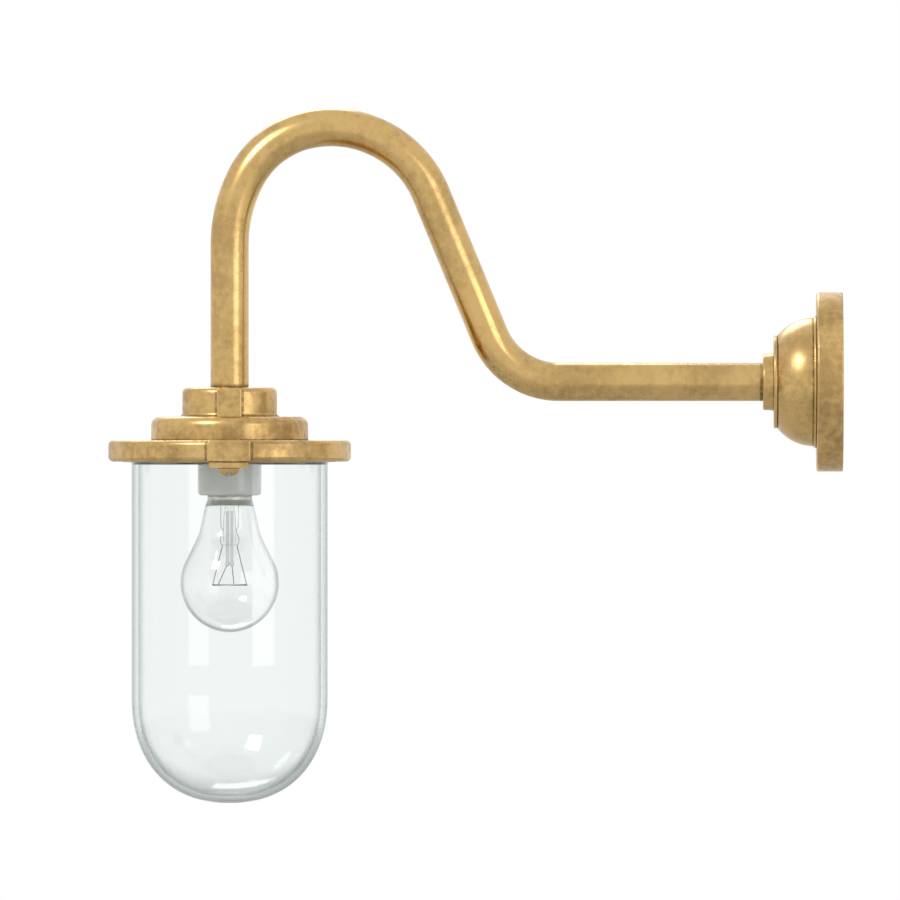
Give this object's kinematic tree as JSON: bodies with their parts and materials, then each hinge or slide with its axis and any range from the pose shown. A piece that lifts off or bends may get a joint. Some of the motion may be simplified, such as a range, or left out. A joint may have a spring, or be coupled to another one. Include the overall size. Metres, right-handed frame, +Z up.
{
  "type": "gooseneck wall sconce",
  "caption": "Swan-neck wall light: round wall plate, bent tube arm and a stepped cast head that holds a deep round-bottomed clear glass over a screw-cap filament bulb.",
  "frame": {"origin": "centre of the wall plate's back, in the plane of the wall, on the axis of the tube's level run", "axes": "+Z up, +Y into the wall, +X to the right as seen from the room; the lamp hangs at -Y"},
  "size_m": [0.166, 0.448, 0.4239],
  "materials": {
    "cast_brass": "satin, sand-cast and finished",
    "tube_brass": "brushed along the tube",
    "spun_brass": "spun, brushed round the axis",
    "turned_brass": "turned, satin",
    "small_brass": "bright",
    "zinc_steel": "zinc plated",
    "seal_rubber": "matte black",
    "porcelain": "glazed white",
    "block_plastic": "moulded",
    "flex_sheath": "flexible sheath",
    "brown_core": "core insulation",
    "blue_core": "core insulation",
    "green_core": "green and yellow core insulation",
    "well_glass": "thick clear pressed glass",
    "bulb_glass": "thin clear blown glass",
    "cap_metal": "drawn, nickel plated",
    "black_glass": "fused black glass",
    "lead_wire": "bare wire",
    "tungsten": "coiled tungsten"
  },
  "bodies": {
    "bracket": {"back_plate": "cast_brass", "wall_seal": "seal_rubber", "arm_foot": "cast_brass", "foot_screws": "zinc_steel", "terminal_block": "block_plastic", "terminal_sleeves": "small_brass", "terminal_screws": "zinc_steel", "block_screw": "zinc_steel", "earth_tags": "small_brass", "earth_screws": "small_brass", "arm_tube": "tube_brass", "inner_flex": "flex_sheath", "live_core": "brown_core", "neutral_core": "blue_core", "earth_core": "green_core", "head_casting": "cast_brass", "tube_locknut": "turned_brass", "glass_gasket": "seal_rubber", "holder_bracket": "zinc_steel", "bracket_screws": "zinc_steel", "holder_screws": "zinc_steel", "holder_body": "porcelain", "holder_shell": "small_brass", "holder_contact": "small_brass", "holder_terminals": "small_brass", "holder_terminal_screws": "small_brass"},
    "rose": {"rose_cover": "spun_brass", "rose_collar": "turned_brass", "collar_grub_screw": "small_brass"},
    "glass": {"well_glass": "well_glass", "clip_screws": "turned_brass"},
    "front_clip": {"clip_front": "cast_brass"},
    "back_clip": {"clip_back": "cast_brass"},
    "bulb": {"bulb_cap": "cap_metal", "bulb_insulator": "black_glass", "bulb_contact": "cap_metal", "bulb_glass": "bulb_glass", "bulb_stem": "bulb_glass", "bulb_leads": "lead_wire", "bulb_supports": "lead_wire", "bulb_filament": "tungsten"}
  },
  "joints": [
    {"name": "rose_slide", "type": "slide", "parent": "bracket", "child": "rose", "axis": [0, -1, 0], "range_m": [0, 0.1]},
    {"name": "glass_release", "type": "slide", "parent": "bracket", "child": "glass", "axis": [0, 0, -1], "range_m": [0, 0.125]},
    {"name": "front_clip_turn", "type": "hinge", "parent": "glass", "child": "front_clip", "pos_m": [0.074, -0.374, -0.05], "axis": [0, 0, 1], "range_deg": [0, 180]},
    {"name": "back_clip_turn", "type": "hinge", "parent": "glass", "child": "back_clip", "pos_m": [-0.074, -0.374, -0.05], "axis": [0, 0, 1], "range_deg": [0, 180]},
    {"name": "bulb_unscrew", "type": "slide", "parent": "bracket", "child": "bulb", "axis": [0, 0, -1], "range_m": [0, 0.026]}
  ]
}
